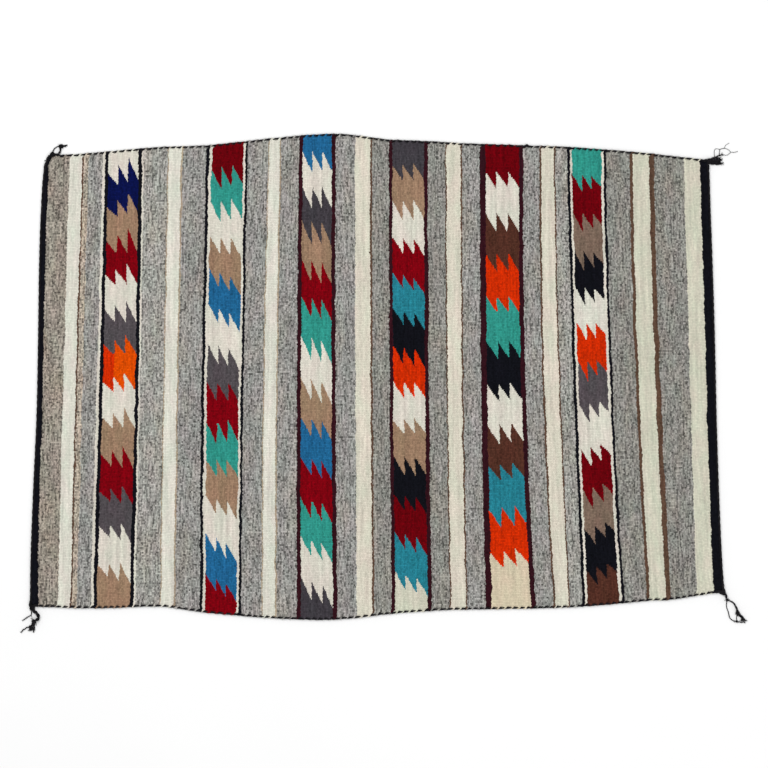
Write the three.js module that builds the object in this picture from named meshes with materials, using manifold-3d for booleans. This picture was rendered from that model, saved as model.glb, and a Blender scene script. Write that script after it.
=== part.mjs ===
// A flat, tapestry-woven wool rug, lying face up on a surface.
// Millimetres, +Z up. +X runs along the warps, which is the long way, and the stripes run along Y.
// The rug is one woven web, a two-ply cord twined along each of its four edges, and a knotted
// tassel of the cords' ends at each corner.

import * as THREE from 'three';
import { mergeVertices } from 'three/addons/utils/BufferGeometryUtils.js';
import Module from 'manifold-3d';

const wasm = await Module();
wasm.setup();

// The web.
const WEB_THICKNESS = 4.6;
const WEB_ROUNDING = 1.2;
const OUTLINE_STEP = 24;

// Every two neighbouring pieces are this far apart. A cord's straight steps cut inside its curve,
// so it starts a little further out from the web.
const GAP = 0.3;
const WEB_GAP = 0.5;

// The edge cords: two plies of this radius, each this far from the cord's middle. A dash is one
// ply crossing over the top of the other, and there are two dashes to a full turn.
const PLY_RADIUS = 1.35;
const PLY_OFFSET = 1.15;
const DASH_PITCH = 13.6;
const STEPS_PER_DASH = 4;
const CORD_SIDES = 6;
const END_CORD_STEP = 12;
const CORD_REACH = PLY_RADIUS + PLY_OFFSET;

// How far from the web's edge the middle of a cord runs, and how high.
const CORD_OUTSET = WEB_GAP + CORD_REACH;
const CORD_HEIGHT = CORD_REACH;

// Tassels: spacing of the sections of a strand, the straight start of one that runs on from a
// cord, a strand's height and top width beside its foot, and the faces round and up a knot.
const STRAND_STEP = 7;
const STRAIGHT_START = 2;
const STRAND_HEIGHT_SHARE = 0.8;
const STRAND_TOP_SHARE = 0.6;
const KNOT_ROUND = 8;
const KNOT_RISE = 5;
const UNIT_RADIUS = 0.5;

// Vertices closer than this are one vertex.
const MERGE_DISTANCE = 1e-4;

// The corners of the web.
const CORNER = {
  topLeft: [-664, 460],
  topRight: [667, 451],
  bottomLeft: [-702.5, -447.5],
  bottomRight: [698.5, -417.5],
};

// The edges of the web as [x, y], between the corners. The long edges swell towards the middle
// and the whole rug leans a little, as hand weaving does.
const TOP_EDGE = [
  CORNER.topLeft,
  [-599, 463.5],
  [-552, 468],
  [-428, 478],
  [-347, 480.5],
  [-219, 494.5],
  [-87, 504],
  [22, 492.5],
  [99, 489],
  [207, 483.5],
  [388, 477],
  [516, 467.5],
  CORNER.topRight,
];
const BOTTOM_EDGE = [
  CORNER.bottomLeft,
  [-574, -451.5],
  [-440, -448.5],
  [-353, -459.5],
  [-215, -471.5],
  [-118, -475],
  [-45, -471],
  [32, -462],
  [148, -455],
  [319, -451.5],
  [418, -448],
  [552, -436],
  [587, -434.5],
  CORNER.bottomRight,
];
const LEFT_EDGE = [
  CORNER.topLeft,
  [-671.5, 447],
  [-675, 430],
  [-681, 334],
  [-684, 233],
  [-686, 90],
  [-689, -60],
  [-695.5, -205],
  [-701, -349],
  CORNER.bottomLeft,
];
const RIGHT_EDGE = [
  CORNER.topRight,
  [668.5, 430],
  [671, 355],
  [675, 245],
  [679.5, 101],
  [684, -95],
  [689, -241],
  [694, -349],
  CORNER.bottomRight,
];

// The edge cords. The trims are how far short of the web's corners a cord stops, where it runs
// on into the tassel. The out side is +1 where the outside is left of the way the edge is listed.
const EDGE_CORDS = [
  { name: 'selvedge_cord_top', edge: TOP_EDGE, out: 1, startTrim: 18, endTrim: 3, twisted: true },
  { name: 'selvedge_cord_bottom', edge: BOTTOM_EDGE, out: -1, startTrim: 7, endTrim: 14, twisted: true },
  { name: 'end_cord_left', edge: LEFT_EDGE, out: -1, startTrim: 20, endTrim: 4, twisted: false },
  { name: 'end_cord_right', edge: RIGHT_EDGE, out: 1, startTrim: 7, endTrim: 5, twisted: false },
];

// The tassels. Points are [x, y] from the tassel's own place, which is close to the web's corner.
// A strand tapers from its root width to its tip width. One marked with a cord starts at that cord's end
// face. Knots are ellipsoids of the given length, width and height, turned by a few degrees.
const TASSELS = [
  {
    name: 'tassel_top_left',
    place: [-664, 460],
    strands: [
      { from: ['end_cord_left', 'start'], root: 5, tip: 6, route: [[-7, -4], [-2, 3], [3, 6]] },
      { from: ['selvedge_cord_top', 'start'], root: 5, tip: 7.4, route: [[13, 5], [8, 5.8], [3, 6]] },
      { root: 4.4, tip: 3.8, route: [[14, 5.5], [17.5, 10], [18.5, 14], [20.5, 21]] },
      { root: 2.4, tip: 2.2, route: [[3, 7], [4, 13], [8, 19], [14, 22.5], [20, 22.5]] },
      { root: 4.2, tip: 2, route: [[20, 22.5], [27, 24], [33.5, 25]] },
      { root: 2.8, tip: 1.4, route: [[20, 22], [26, 22.5], [31, 22]] },
      { root: 3.6, tip: 2, route: [[-8, -5], [-13.5, -7]] },
    ],
    knots: [
      { at: [3, 6.5], size: [10, 9, 6.6], turn: 40 },
      { at: [20, 22.5], size: [9, 6.4, 5.8], turn: 10 },
    ],
  },
  {
    name: 'tassel_top_right',
    place: [667, 451],
    strands: [
      { from: ['selvedge_cord_top', 'end'], root: 4.8, tip: 5.6, route: [[1, 3.4], [5, 4]] },
      { from: ['end_cord_right', 'start'], root: 4.8, tip: 5, route: [[3.4, -4], [6, 0]] },
      { root: 3.6, tip: 2.8, route: [[5, 5], [13, 7], [22, 8], [30, 6.6]] },
      { root: 3.6, tip: 2.6, route: [[5, 3.5], [14, 4.4], [24, 4.8], [33, 4.6]] },
      { root: 3.6, tip: 3, route: [[5, 2], [15, 1.8], [24, 2], [30, 2.2]] },
      { root: 3.6, tip: 3, route: [[5, 0], [15, -0.8], [23, -0.8], [29, -0.4]] },
      { root: 3.6, tip: 2.4, route: [[5, -2], [15, -3], [25, -3], [35.5, -2.6]] },
      { root: 3.2, tip: 2.8, route: [[6, -3.6], [15, -4.6], [24, -5], [31, -4.8]] },
      { root: 4, tip: 2.6, route: [[10, 6.6], [18, 9.4], [26, 13], [34, 16]] },
      { root: 1.4, tip: 1.2, route: [[17, 9], [16, 18], [16.5, 24], [19, 26.7], [28, 25.6]] },
      {
        root: 1.4,
        tip: 1.2,
        route: [[26, 13], [26.5, 19], [28, 25.5], [37.5, 27.5], [45.5, 24], [50, 19.5]],
      },
      { root: 1.4, tip: 1.2, route: [[32, 15.5], [41, 13.6], [50, 19.5], [56, 19.3], [64, 21.5]] },
      { root: 1.2, tip: 1, route: [[36, 27.4], [39.5, 34], [46.5, 38.5]] },
    ],
    knots: [{ at: [5.4, 1], size: [9, 12, 6.8], turn: 0 }],
  },
  {
    name: 'tassel_bottom_left',
    place: [-700, -447],
    strands: [
      { from: ['end_cord_left', 'end'], root: 4.8, tip: 6.4, route: [[-5.8, -3.6], [-3.6, -8.4]] },
      { from: ['selvedge_cord_bottom', 'start'], root: 4.8, tip: 5.6, route: [[-3, -5.6], [-2.6, -8.4]] },
      {
        root: 6.2,
        tip: 5.8,
        route: [[-2, -9], [1, -14], [7, -18], [10.6, -25], [9.6, -30], [4.6, -33], [0.6, -36]],
      },
      { root: 3.4, tip: 3, route: [[1, -35], [-4, -42], [-7.4, -48], [-9, -55]] },
      { root: 3.4, tip: 3, route: [[1, -35], [-2.6, -42], [-5, -48], [-6, -54.5]] },
      { root: 3.4, tip: 3, route: [[1, -35], [-1.4, -42], [-2.8, -47], [-3, -53.5]] },
      { root: 3.4, tip: 2.6, route: [[1, -35], [0.8, -42], [0.4, -50], [0, -58]] },
      { root: 3.4, tip: 2.6, route: [[1.4, -35], [2.6, -42], [2.4, -48], [2, -54.5]] },
      { root: 1.6, tip: 1.4, route: [[-3, -11], [-3.6, -17], [-4.6, -22], [-12.5, -27], [-22.5, -34]] },
      { root: 1.2, tip: 1.2, route: [[-4, -21], [-2.6, -28], [0.6, -34]] },
      { root: 2.2, tip: 1.8, route: [[-6, -44], [-12, -47.5], [-18.6, -51], [-26, -58]] },
    ],
    knots: [
      { at: [-2.4, -8.2], size: [12.6, 10, 6.8], turn: 0 },
      { at: [1, -35.5], size: [8, 8.6, 6], turn: 60 },
    ],
  },
  {
    name: 'tassel_bottom_right',
    place: [697, -416],
    strands: [
      { from: ['selvedge_cord_bottom', 'end'], root: 4.8, tip: 7, route: [[-5, -6.4], [2, -7.8]] },
      { from: ['end_cord_right', 'end'], root: 4.8, tip: 6.4, route: [[5.2, -2.6], [4.2, -7.4]] },
      { root: 6.4, tip: 4.2, route: [[4, -8], [8.4, -12], [11, -17.5], [12.4, -23]] },
      {
        root: 1.8,
        tip: 2.6,
        route: [[12, -23], [11, -29], [11, -37], [14.5, -47], [17.6, -59], [21.6, -63], [28.6, -66.6]],
      },
      { root: 3, tip: 2.6, route: [[27, -65.6], [33, -67.4], [40, -68], [49, -68]] },
      {
        root: 2.2,
        tip: 5,
        route: [[12, -23], [18, -24.5], [25.6, -29.6], [30, -37], [32.8, -45.6], [34, -51]],
      },
      { root: 4, tip: 3.2, route: [[34, -51], [39, -56], [41.4, -61], [42, -66]] },
      { root: 4, tip: 3.2, route: [[34, -51], [40, -55], [43.6, -60], [45, -66]] },
      { root: 4, tip: 2.4, route: [[34, -51], [41, -54.6], [46, -60.4], [51.4, -66.4]] },
      { root: 4, tip: 3, route: [[34, -51], [41, -55.4], [44.6, -60.6], [48, -66]] },
      { root: 1.8, tip: 1.6, route: [[33.4, -52], [31.4, -57], [31.6, -65]] },
    ],
    knots: [
      { at: [3.8, -8], size: [12, 9, 6.8], turn: -20 },
      { at: [12.4, -22.6], size: [5, 5, 4.6], turn: 0 },
      { at: [34, -51], size: [7.4, 8, 5.6], turn: 0 },
      { at: [31.8, -66.4], size: [5.6, 4.2, 4], turn: 0 },
    ],
  },
];

const wool = (color) => new THREE.MeshStandardMaterial({ color, roughness: 0.95, metalness: 0 });
const WEB_WOOL = wool(0x8f8c86);
const CORD_WOOL = wool(0x15151a);

// A smooth curve in the plane z = 0 through a list of [x, y].
const curveThrough = (points) =>
  new THREE.CatmullRomCurve3(points.map(([x, y]) => new THREE.Vector3(x, y, 0)), false, 'centripetal');

// Even points along a curve, about the given step apart, from one place to another in millimetres.
function evenPoints(curve, step, startTrim = 0, endTrim = 0) {
  const length = curve.getLength();
  const count = Math.max(1, Math.round((length - startTrim - endTrim) / step));
  const places = [];
  for (let i = 0; i <= count; i += 1) {
    const along = startTrim + ((length - startTrim - endTrim) * i) / count;
    const share = Math.min(1, along / length);
    places.push({ at: curve.getPointAt(share), way: curve.getTangentAt(share) });
  }
  return places;
}

// The left-hand side of a direction in the plane.
const leftOf = (way) => new THREE.Vector3(-way.y, way.x, 0).normalize();

// A closed body from rings of points, all with the same count, and a flat cap on both ends.
function bodyOfRings(rings) {
  const sides = rings[0].length;
  const positions = rings.flat().flatMap((point) => [point.x, point.y, point.z]);
  const faces = [];
  for (let ring = 0; ring + 1 < rings.length; ring += 1) {
    for (let side = 0; side < sides; side += 1) {
      const next = (side + 1) % sides;
      const a = ring * sides + side;
      const b = ring * sides + next;
      const c = (ring + 1) * sides + next;
      const d = (ring + 1) * sides + side;
      faces.push(a, b, c, a, c, d);
    }
  }
  const last = (rings.length - 1) * sides;
  for (let side = 1; side + 1 < sides; side += 1) {
    faces.push(0, side + 1, side);
    faces.push(last, last + side, last + side + 1);
  }
  const geometry = new THREE.BufferGeometry();
  geometry.setAttribute('position', new THREE.Float32BufferAttribute(positions, 3));
  geometry.setIndex(faces);
  return geometry;
}

// The web: the outline inside the four cords, as a slab with softly rounded edges.
function makeWeb() {
  const sides = [TOP_EDGE, RIGHT_EDGE, [...BOTTOM_EDGE].reverse(), [...LEFT_EDGE].reverse()];
  const outline = sides.flatMap((side) =>
    evenPoints(curveThrough(side), OUTLINE_STEP)
      .slice(0, -1)
      .map(({ at }) => new THREE.Vector2(at.x, at.y)),
  );
  const geometry = new THREE.ExtrudeGeometry(new THREE.Shape(outline), {
    depth: WEB_THICKNESS - 2 * WEB_ROUNDING,
    bevelThickness: WEB_ROUNDING,
    bevelSize: WEB_ROUNDING,
    bevelOffset: -WEB_ROUNDING,
    bevelSegments: 1,
    steps: 1,
  });
  return geometry.translate(0, 0, WEB_ROUNDING);
}

// How far a two-ply cord reaches in a direction that is this far round from its first ply.
function plyReach(angle) {
  const across = PLY_OFFSET * Math.sin(angle);
  return PLY_OFFSET * Math.abs(Math.cos(angle)) + Math.sqrt(PLY_RADIUS ** 2 - across ** 2);
}

// The places along the middle of an edge cord, outside the web's edge.
function cordPlaces({ edge, out, startTrim, endTrim, twisted }) {
  const step = twisted ? DASH_PITCH / STEPS_PER_DASH : END_CORD_STEP;
  return evenPoints(curveThrough(edge), step, startTrim, endTrim).map(({ at, way }) => {
    const outward = leftOf(way).multiplyScalar(out);
    const middle = at.clone().addScaledVector(outward, CORD_OUTSET).setZ(CORD_HEIGHT);
    return { middle, outward, way };
  });
}

// An edge cord. On top each ply goes outwards as x grows, so its dashes slant that way. A cord
// whose twist is raised has an edge right at the top, where the dashes show.
function makeEdgeCord(cord) {
  const firstAngle = cord.twisted ? Math.PI / 2 : 0;
  const rings = cordPlaces(cord).map(({ middle, outward }, index) => {
    const turn = (-Math.PI * index) / STEPS_PER_DASH;
    const ring = [];
    for (let side = 0; side < CORD_SIDES; side += 1) {
      const angle = firstAngle + (side * 2 * Math.PI * cord.out) / CORD_SIDES;
      const reach = cord.twisted ? plyReach(angle - turn) : CORD_REACH;
      const point = middle.clone().addScaledVector(outward, reach * Math.cos(angle));
      point.z += reach * Math.sin(angle);
      ring.push(point);
    }
    return ring;
  });
  return bodyOfRings(rings);
}

// Where a tassel's strand leaves a cord: just past the cord's end face, and straight on from it.
function cordEnd(name, end) {
  const cord = EDGE_CORDS.find((candidate) => candidate.name === name);
  const places = cordPlaces(cord);
  const { middle, way } = end === 'start' ? places[0] : places[places.length - 1];
  const onward = way.clone().multiplyScalar(end === 'start' ? -1 : 1);
  return [GAP, GAP + STRAIGHT_START].map((distance) => {
    const point = middle.clone().addScaledVector(onward, distance);
    return [point.x, point.y];
  });
}

// One strand of four sides, lying level with its foot on the surface.
function makeStrand({ from, root, tip, route }, place) {
  const points = route.map(([x, y]) => [place[0] + x, place[1] + y]);
  if (from) {
    points.unshift(...cordEnd(...from));
  }
  const places = evenPoints(curveThrough(points), STRAND_STEP);
  const rings = places.map(({ at, way }, index) => {
    const width = root + ((tip - root) * index) / (places.length - 1);
    const half = width / 2;
    const left = leftOf(way);
    const topHalf = half * STRAND_TOP_SHARE;
    const height = width * STRAND_HEIGHT_SHARE;
    return [
      at.clone().addScaledVector(left, topHalf).setZ(height),
      at.clone().addScaledVector(left, -topHalf).setZ(height),
      at.clone().addScaledVector(left, -half),
      at.clone().addScaledVector(left, half),
    ];
  });
  return bodyOfRings(rings);
}

// A knot: a low ellipsoid that stands on the surface.
function makeKnot({ at, size, turn }, place) {
  const geometry = new THREE.SphereGeometry(UNIT_RADIUS, KNOT_ROUND, KNOT_RISE);
  geometry.rotateX(Math.PI / 2);
  geometry.scale(...size);
  geometry.rotateZ(THREE.MathUtils.degToRad(turn));
  return geometry.translate(place[0] + at[0], place[1] + at[1], size[2] / 2);
}

function toSolid(geometry) {
  const bare = geometry.clone();
  bare.deleteAttribute('normal');
  bare.deleteAttribute('uv');
  const merged = mergeVertices(bare, MERGE_DISTANCE);
  return new wasm.Manifold(
    new wasm.Mesh({
      numProp: 3,
      vertProperties: new Float32Array(merged.attributes.position.array),
      triVerts: new Uint32Array(merged.index.array),
    }),
  );
}

function toGeometry(solid) {
  const mesh = solid.getMesh();
  const geometry = new THREE.BufferGeometry();
  geometry.setAttribute('position', new THREE.BufferAttribute(mesh.vertProperties, 3));
  geometry.setIndex(new THREE.BufferAttribute(mesh.triVerts, 1));
  return geometry;
}

// A tassel: its strands and knots grown together into one body.
function makeTassel({ place, strands, knots }) {
  const bodies = [
    ...strands.map((strand) => makeStrand(strand, place)),
    ...knots.map((knot) => makeKnot(knot, place)),
  ];
  return toGeometry(bodies.map(toSolid).reduce((whole, body) => whole.add(body)));
}

const rug = new THREE.Group();

function addPiece(name, geometry, material) {
  const mesh = new THREE.Mesh(geometry, material);
  mesh.name = name;
  rug.add(mesh);
}

addPiece('web', makeWeb(), WEB_WOOL);
for (const cord of EDGE_CORDS) {
  addPiece(cord.name, makeEdgeCord(cord), CORD_WOOL);
}
for (const tassel of TASSELS) {
  addPiece(tassel.name, makeTassel(tassel), CORD_WOOL);
}

// The origin is on the surface, under the middle of the whole rug.
const middle = new THREE.Box3().setFromObject(rug).getCenter(new THREE.Vector3());
rug.position.set(-middle.x, -middle.y, 0);

export default rug;
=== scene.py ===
import math

import bpy
import numpy as np
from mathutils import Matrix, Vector


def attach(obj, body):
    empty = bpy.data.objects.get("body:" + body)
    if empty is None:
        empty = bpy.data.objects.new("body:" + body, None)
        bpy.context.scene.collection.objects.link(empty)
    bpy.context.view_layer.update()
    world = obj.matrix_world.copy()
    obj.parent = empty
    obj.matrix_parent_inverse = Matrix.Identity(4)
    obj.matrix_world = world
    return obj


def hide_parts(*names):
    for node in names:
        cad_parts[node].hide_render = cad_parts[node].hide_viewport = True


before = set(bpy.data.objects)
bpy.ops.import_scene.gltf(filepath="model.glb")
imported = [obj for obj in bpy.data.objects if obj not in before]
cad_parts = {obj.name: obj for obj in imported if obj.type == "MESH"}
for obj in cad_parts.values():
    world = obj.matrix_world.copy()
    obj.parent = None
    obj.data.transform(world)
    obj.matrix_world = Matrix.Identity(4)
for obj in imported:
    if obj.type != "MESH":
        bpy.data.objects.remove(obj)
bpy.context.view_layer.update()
scene = bpy.context.scene

# The work is done in millimetres on the photo's own sheet, and turned into metres at the end.
MM = 0.001
TURN = 2 * math.pi

# The web's corners and edges as [x, y], as in the part's source.
CORNERS = {
    "top_left": (-664, 460),
    "top_right": (667, 451),
    "bottom_left": (-702.5, -447.5),
    "bottom_right": (698.5, -417.5),
}
TOP_EDGE = [
    CORNERS["top_left"], (-599, 463.5), (-552, 468), (-428, 478), (-347, 480.5), (-219, 494.5),
    (-87, 504), (22, 492.5), (99, 489), (207, 483.5), (388, 477), (516, 467.5), CORNERS["top_right"],
]
BOTTOM_EDGE = [
    CORNERS["bottom_left"], (-574, -451.5), (-440, -448.5), (-353, -459.5), (-215, -471.5),
    (-118, -475), (-45, -471), (32, -462), (148, -455), (319, -451.5), (418, -448), (552, -436),
    (587, -434.5), CORNERS["bottom_right"],
]
LEFT_EDGE = [
    CORNERS["top_left"], (-671.5, 447), (-675, 430), (-681, 334), (-684, 233), (-686, 90),
    (-689, -60), (-695.5, -205), (-701, -349), CORNERS["bottom_left"],
]
RIGHT_EDGE = [
    CORNERS["top_right"], (668.5, 430), (671, 355), (675, 245), (679.5, 101), (684, -95),
    (689, -241), (694, -349), CORNERS["bottom_right"],
]

# The web: its length along the warps at mid height, where that starts, its mean height, and its
# thickness without the warps' relief.
LENGTH = 1364.4
START_X = -683.7
MEAN_HEIGHT = 935.0
THICKNESS = 4.5

# The raised warps across the web. Their relief changes by this share, in waves of these lengths.
WARPS = 279
WARP_RELIEF = 0.2
RELIEF_CHANGE = 0.3
RELIEF_WAVES = (90, 55, 33)
RELIEF_SEED = 22

# The cloth's slow unevenness, in waves of these lengths.
CLOTH_UNEVEN = 0.16
CLOTH_WAVES = (420, 260, 170, 95, 60)
CLOTH_SEED = 21

# The grid of the face, the finer stations along the long edges, and the coarser grid of the back.
# Each grid starts this far in from the edges.
ROWS_PER_WARP = 3
ROWS = WARPS * ROWS_PER_WARP
COLUMNS = 80
FINE_PER_COLUMN = 10
FINE = COLUMNS * FINE_PER_COLUMN
INSET = 4.0
BACK_INSET = 7.0
BACK_COLUMNS = 40
BACK_ROWS = 27

# The long edges wander by about this much, in waves of these lengths that are brought to about one.
EDGE_WANDER = 0.45
EDGE_WAVES = (310, 143, 71, 37, 19)
EDGE_WAVES_SUM = 2.2
EDGE_SEEDS = {"top": 3, "bottom": 5}

# How far each weft's ends lie to the right of its middle, at the top and at the bottom edge, for
# wefts at this distance from the left edge.
LEAN = np.array([
    # at, top, bottom
    (0, 14, -13),
    (60, 14, -10),
    (83, 13, -12),
    (125, 12, -13),
    (191, 6, -12),
    (336, 11, -3),
    (402, 8, -6),
    (450, 12, -3),
    (485, 7, -2),
    (527, 4, 0),
    (589, 1, 4),
    (714, -2, 4),
    (779, -2, 6),
    (904, -3, 10),
    (972, -3, 21),
    (1020, -6, 23),
    (1089, -14, 19),
    (1149, -13, 25),
    (1260, -13, 22),
    (1317, -13, 13),
    (1364.4, -13.6, 13),
])
# Within this distance of the left and right edges, the wefts blend into the edges' own lines.
END_BLEND = 40.0

# Yarn colours, as display values from 0 to 255.
YARN = {
    "black": (16, 17, 24),
    "maroon": (52, 18, 27),
    "cream": (230, 228, 215),
    "warm_cream": (228, 222, 205),
    "pale_cream": (219, 217, 198),
    "white": (228, 223, 210),
    "beige": (176, 160, 138),
    "brown": (98, 74, 60),
    "grey": (149, 148, 145),
    "dark_grey": (141, 140, 135),
    "warm_grey": (149, 142, 132),
    "light_grey": (158, 157, 152),
    "peach_grey": (176, 165, 151),
    "navy": (8, 18, 76),
    "blue": (34, 104, 152),
    "jade": (51, 154, 141),
    "turquoise": (40, 132, 150),
    "red": (130, 0, 14),
    "deep_red": (110, 0, 10),
    "scarlet": (216, 47, 1),
    "orange": (230, 80, 0),
    "tan": (161, 131, 106),
    "taupe": (129, 108, 94),
    "brown_block": (85, 49, 38),
    "charcoal": (86, 80, 84),
    "dark_charcoal": (68, 64, 70),
    "peach": (221, 207, 180),
}
HEATHERED = {"grey", "dark_grey", "warm_grey", "light_grey", "peach_grey"}

# The stripes from left to right: yarn, and where the stripe ends in millimetres from the left.
# A number in place of a yarn is a column of serrated blocks.
STRIPES = [
    ("black", 7.0), ("warm_grey", 44.8), ("cream", 70.2), ("brown", 73.4), ("peach_grey", 84.0),
    ("grey", 112.8), ("white", 118.0), ("black", 125.2), (0, 191.0), ("black", 198.0), ("white", 201.2),
    ("light_grey", 249.0), ("beige", 251.0), ("cream", 275.5), ("beige", 278.6), ("grey", 325.4),
    ("black", 331.5), ("white", 336.6), (1, 401.7), ("white", 405.8), ("black", 411.0),
    ("grey", 451.0), ("beige", 453.2), ("cream", 477.0), ("beige", 480.0), ("grey", 519.3),
    ("maroon", 527.4), (2, 589.3), ("maroon", 597.4), ("grey", 637.6), ("warm_cream", 668.9),
    ("brown", 672.9), ("dark_grey", 707.2), ("maroon", 714.4), (3, 779.1), ("maroon", 787.2),
    ("dark_grey", 822.8), ("brown", 825.4), ("warm_cream", 854.0), ("brown", 857.1),
    ("grey", 893.0), ("maroon", 905.0), (4, 974.0), ("maroon", 983.0), ("grey", 1017.6),
    ("brown", 1021.4), ("warm_cream", 1050.6), ("brown", 1053.4), ("light_grey", 1080.1),
    ("black", 1086.2), ("white", 1090.3), (5, 1149.1), ("white", 1154.2), ("black", 1159.3),
    ("dark_grey", 1206.4), ("brown", 1212.6), ("pale_cream", 1246.6), ("brown", 1256.5),
    ("dark_grey", 1317.0), ("pale_cream", 1349.6), ("black", LENGTH),
]
# The black at the left widens by this much towards the bottom, and narrows at the very top. Each
# span is two places down the web, and the shares of that at the two.
LEFT_BLACK_WIDENS = 4.0
LEFT_BLACK_WIDE_SPAN = (0.65, 1.0, 0.0, 1.0)
LEFT_BLACK_NARROWS = 5.5
LEFT_BLACK_NARROW_SPAN = (0.0, 0.05, 1.0, 0.0)

# Woven yarn: a weft is this wide, and one shows over every other warp.
WEFT = 1.4
# Under the scene's light, a surface this much darker than a display value shows as that value.
EXPOSURE = 0.8

# Noises over the beads: their patches in millimetres across and down, layer, detail and roughness.
PATCHES = {
    "drift": (26.0, 48.0, 0.0, 2.0, 0.5),
    "ripple": (9.0, 11.0, 4.0, 1.0, 0.5),
    "streak": (4.3, 5.2, 0.0, 1.8, 0.6),
    "long_streak": (3.2, 34.0, 9.0, 1.0, 0.5),
    "blotch": (14.0, 70.0, 2.0, 1.0, 0.5),
    "lot": (7.0, 160.0, 8.0, 1.0, 0.5),
    "warmth": (38.0, 110.0, 6.0, 2.0, 0.5),
    "hue": (24.0, 60.0, 12.0, 2.0, 0.5),
}
# How far the stripes' edges stray by each noise, in millimetres, and the length of one jag.
DRIFT = 7.0
RIPPLE = 1.9
JAG = 0.9
JAG_LENGTH = 9.0
JAG_LAYER = 5.0
# How much of each noise is mixed into the streaks of the wool.
FLECK = 0.15
LONG_STREAK = 0.5
BLOTCH = 0.16
# Spans: a value from the first to the second is brought to between the third and the fourth.
GREY_LIGHT = (0.31, 0.69, 0.3, 1.88)
PLAIN_LIGHT = (0.25, 0.75, -1.0, 1.0)
UNEVENNESS_BY_TONE = (0.0, 0.5, 0.44, 0.16)
LOT_LIGHT = (0.3, 0.7, 0.9, 1.1)
# Painted shade: each bead is darker towards its edges, where the wefts dip between warps, and a little
# lighter on its crown.
DOME_PAINTED_SHADE = (0.0, 0.75, 0.72, 1.08)
WARM_SPAN = (0.45, 0.7, 0.0, 1.0)
HUE_SPAN = (0.32, 0.68, 0.0, 1.0)
# Factors for a colour's red, green and blue.
WARM_TINGE = (1.035, 0.99, 0.93)
GREEN_TINGE = (0.965, 1.015, 0.985)
PINK_TINGE = (1.04, 0.985, 1.0)
# The bead's shape, and its fibres: how many to a millimetre across and down the web, and their rise.
DOME_SHAPE = 3.0
FIBRES_ACROSS = 3.0
FIBRES_DOWN = 900.0
FIBRE_RISE = 0.25
# All the materials have these.
SPECULAR = 0.04
SHEEN_ROUGHNESS = 0.5

# The cords' black wool, and the ridges of its fibres that wind round a ply.
CORD_DARK = (0.0055, 0.0052, 0.0065)
CORD_LIGHT = (0.014, 0.0125, 0.015)
CORD_SPAN = (0.35, 0.7, 0.0, 1.0)
RIDGES_TO_A_METRE = 900.0
RIDGES_ROUND = 3.0
RIDGE_RISE = 0.25
FUZZ_RISE = 0.8

# The floor, the light and the camera, in metres, with the sensor in millimetres. The photo's
# middle is this many millimetres to the right of where the points above are measured from.
FLOOR_SIZE = 16
FLOOR_DROP = 0.0003
FLOOR_DARK = (0.80, 0.80, 0.80)
FLOOR_LIGHT = (0.82, 0.82, 0.82)
WORLD_LIGHT = 0.7
CAMERA_HEIGHT = 6.0
SENSOR = 36.0
PHOTO_PIXELS = 768
MM_PER_PIXEL = 2.03
PHOTO_WIDTH = PHOTO_PIXELS * MM_PER_PIXEL * MM
PHOTO_MIDDLE_X = 12.2

# The serrated columns. Each is woven as blocks one below another, and where two blocks meet
# there are three slanting teeth. Lengths are in millimetres from the top edge.
# blocks: yarns downwards, two with a slash being the first tooth's and the others'
# height: the web's height there
# first, step, growth: block i ends at first + step * i + growth * i * i
# depth: a tooth's depth
# tilt: how much lower the right tooth starts than the left, at the top and at the bottom
# sway: how far the tilt comes and goes down the column
# flare: the share by which the right tooth is deeper than the middle one, and the left less
# swell: how far the ends shift in waves, a block where a wave peaks, and blocks to a wave
COLUMN_CHARTS = [
    {
        "blocks": "white navy tan red white charcoal scarlet/orange white tan red charcoal white tan",
        "height": 918, "first": 25, "step": 69.5, "growth": 0.35, "depth": 34, "tilt": (-27, -7),
        "sway": 3, "flare": 0.3, "swell": (0, 0, 1),
    },
    {
        "blocks": "deep_red jade white tan blue white charcoal red jade tan white blue red",
        "height": 942, "first": 42, "step": 69.8, "growth": 0.53, "depth": 38, "tilt": (8, 7),
        "sway": 13, "flare": 0, "swell": (0, 0, 1),
    },
    {
        "blocks": "blue white dark_charcoal tan red jade white tan blue red jade white dark_charcoal",
        "height": 973, "first": 33, "step": 71.1, "growth": 0.703, "depth": 43, "tilt": (1, 14),
        "sway": 2, "flare": 0, "swell": (6, 7, 11),
    },
    {
        "blocks": "dark_charcoal tan white red turquoise black scarlet white tan black deep_red "
                  "turquoise pale_cream",
        "height": 945, "first": 38, "step": 73.2, "growth": 0.28, "depth": 35, "tilt": (3, 7),
        "sway": 8, "flare": 0, "swell": (8, 1.5, 15),
    },
    {
        "blocks": "deep_red white brown_block scarlet jade black white brown_block turquoise scarlet peach",
        "height": 928, "first": 51, "step": 84.6, "growth": 0, "depth": 33, "tilt": (0, -8),
        "sway": 2, "flare": 0, "swell": (3, 4.5, 5),
    },
    {
        "blocks": "jade deep_red taupe black cream scarlet charcoal white deep_red taupe black brown_block",
        "height": 913, "first": 54, "step": 70.9, "growth": 0.82, "depth": 29, "tilt": (6, -13),
        "sway": 3, "flare": -0.25, "swell": (5, 2.2, 5),
    },
]
# The sway's period in blocks, and the block where it starts.
SWAY_PERIOD = 6.8
SWAY_START = 2
TEETH = 3
# Seeded unevenness: how far a block's end strays, and a tooth's depth as a share of the chart's.
BLOCK_STRAY = (-2, 2)
DEPTH_SHARES = (0.86, 1.14)
COLUMN_SEED = 40

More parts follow.
